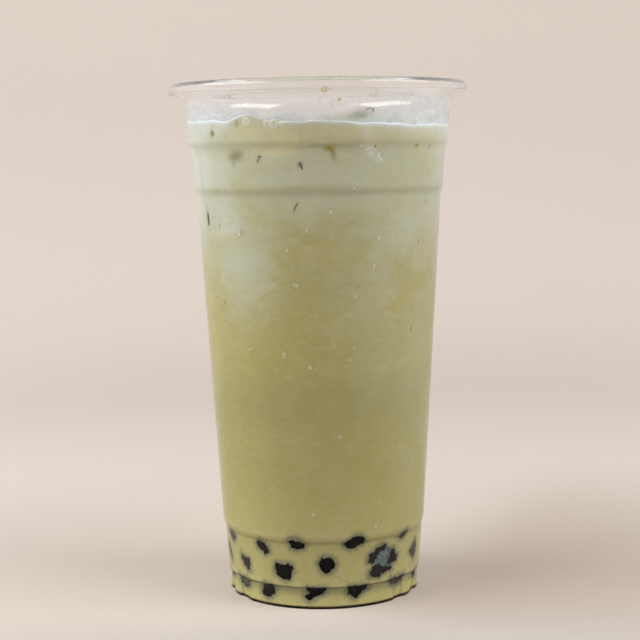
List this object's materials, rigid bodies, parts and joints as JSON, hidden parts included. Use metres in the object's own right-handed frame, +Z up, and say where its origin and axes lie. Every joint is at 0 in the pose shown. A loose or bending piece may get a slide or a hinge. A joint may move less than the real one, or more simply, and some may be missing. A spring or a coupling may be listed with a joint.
{
  "type": "iced matcha latte with tapioca pearls in a plastic cup",
  "caption": "Open, clear tapered plastic cup with a rolled rim, stacking steps and a fluted foot, filled with iced matcha latte over a bed of dark tapioca pearls.",
  "frame": {"origin": "centre of the cup's foot on the surface it stands on", "axes": "+Z up along the cup's axis; the wide plain panel of the foot that the picture shows faces -Y"},
  "size_m": [0.0898, 0.09, 0.1543],
  "materials": {
    "clear_plastic": "clear, glossy, moulded",
    "latte": "opaque milky green drink, paler and foamy at the top",
    "pearls": "dark, soft, wet",
    "ice": "clear ice, melted edges"
  },
  "bodies": {
    "root": {"cup": "clear_plastic", "latte": "latte", "pearls": "pearls", "ice_1": "ice", "ice_2": "ice", "ice_3": "ice", "ice_4": "ice", "ice_5": "ice"}
  },
  "joints": []
}
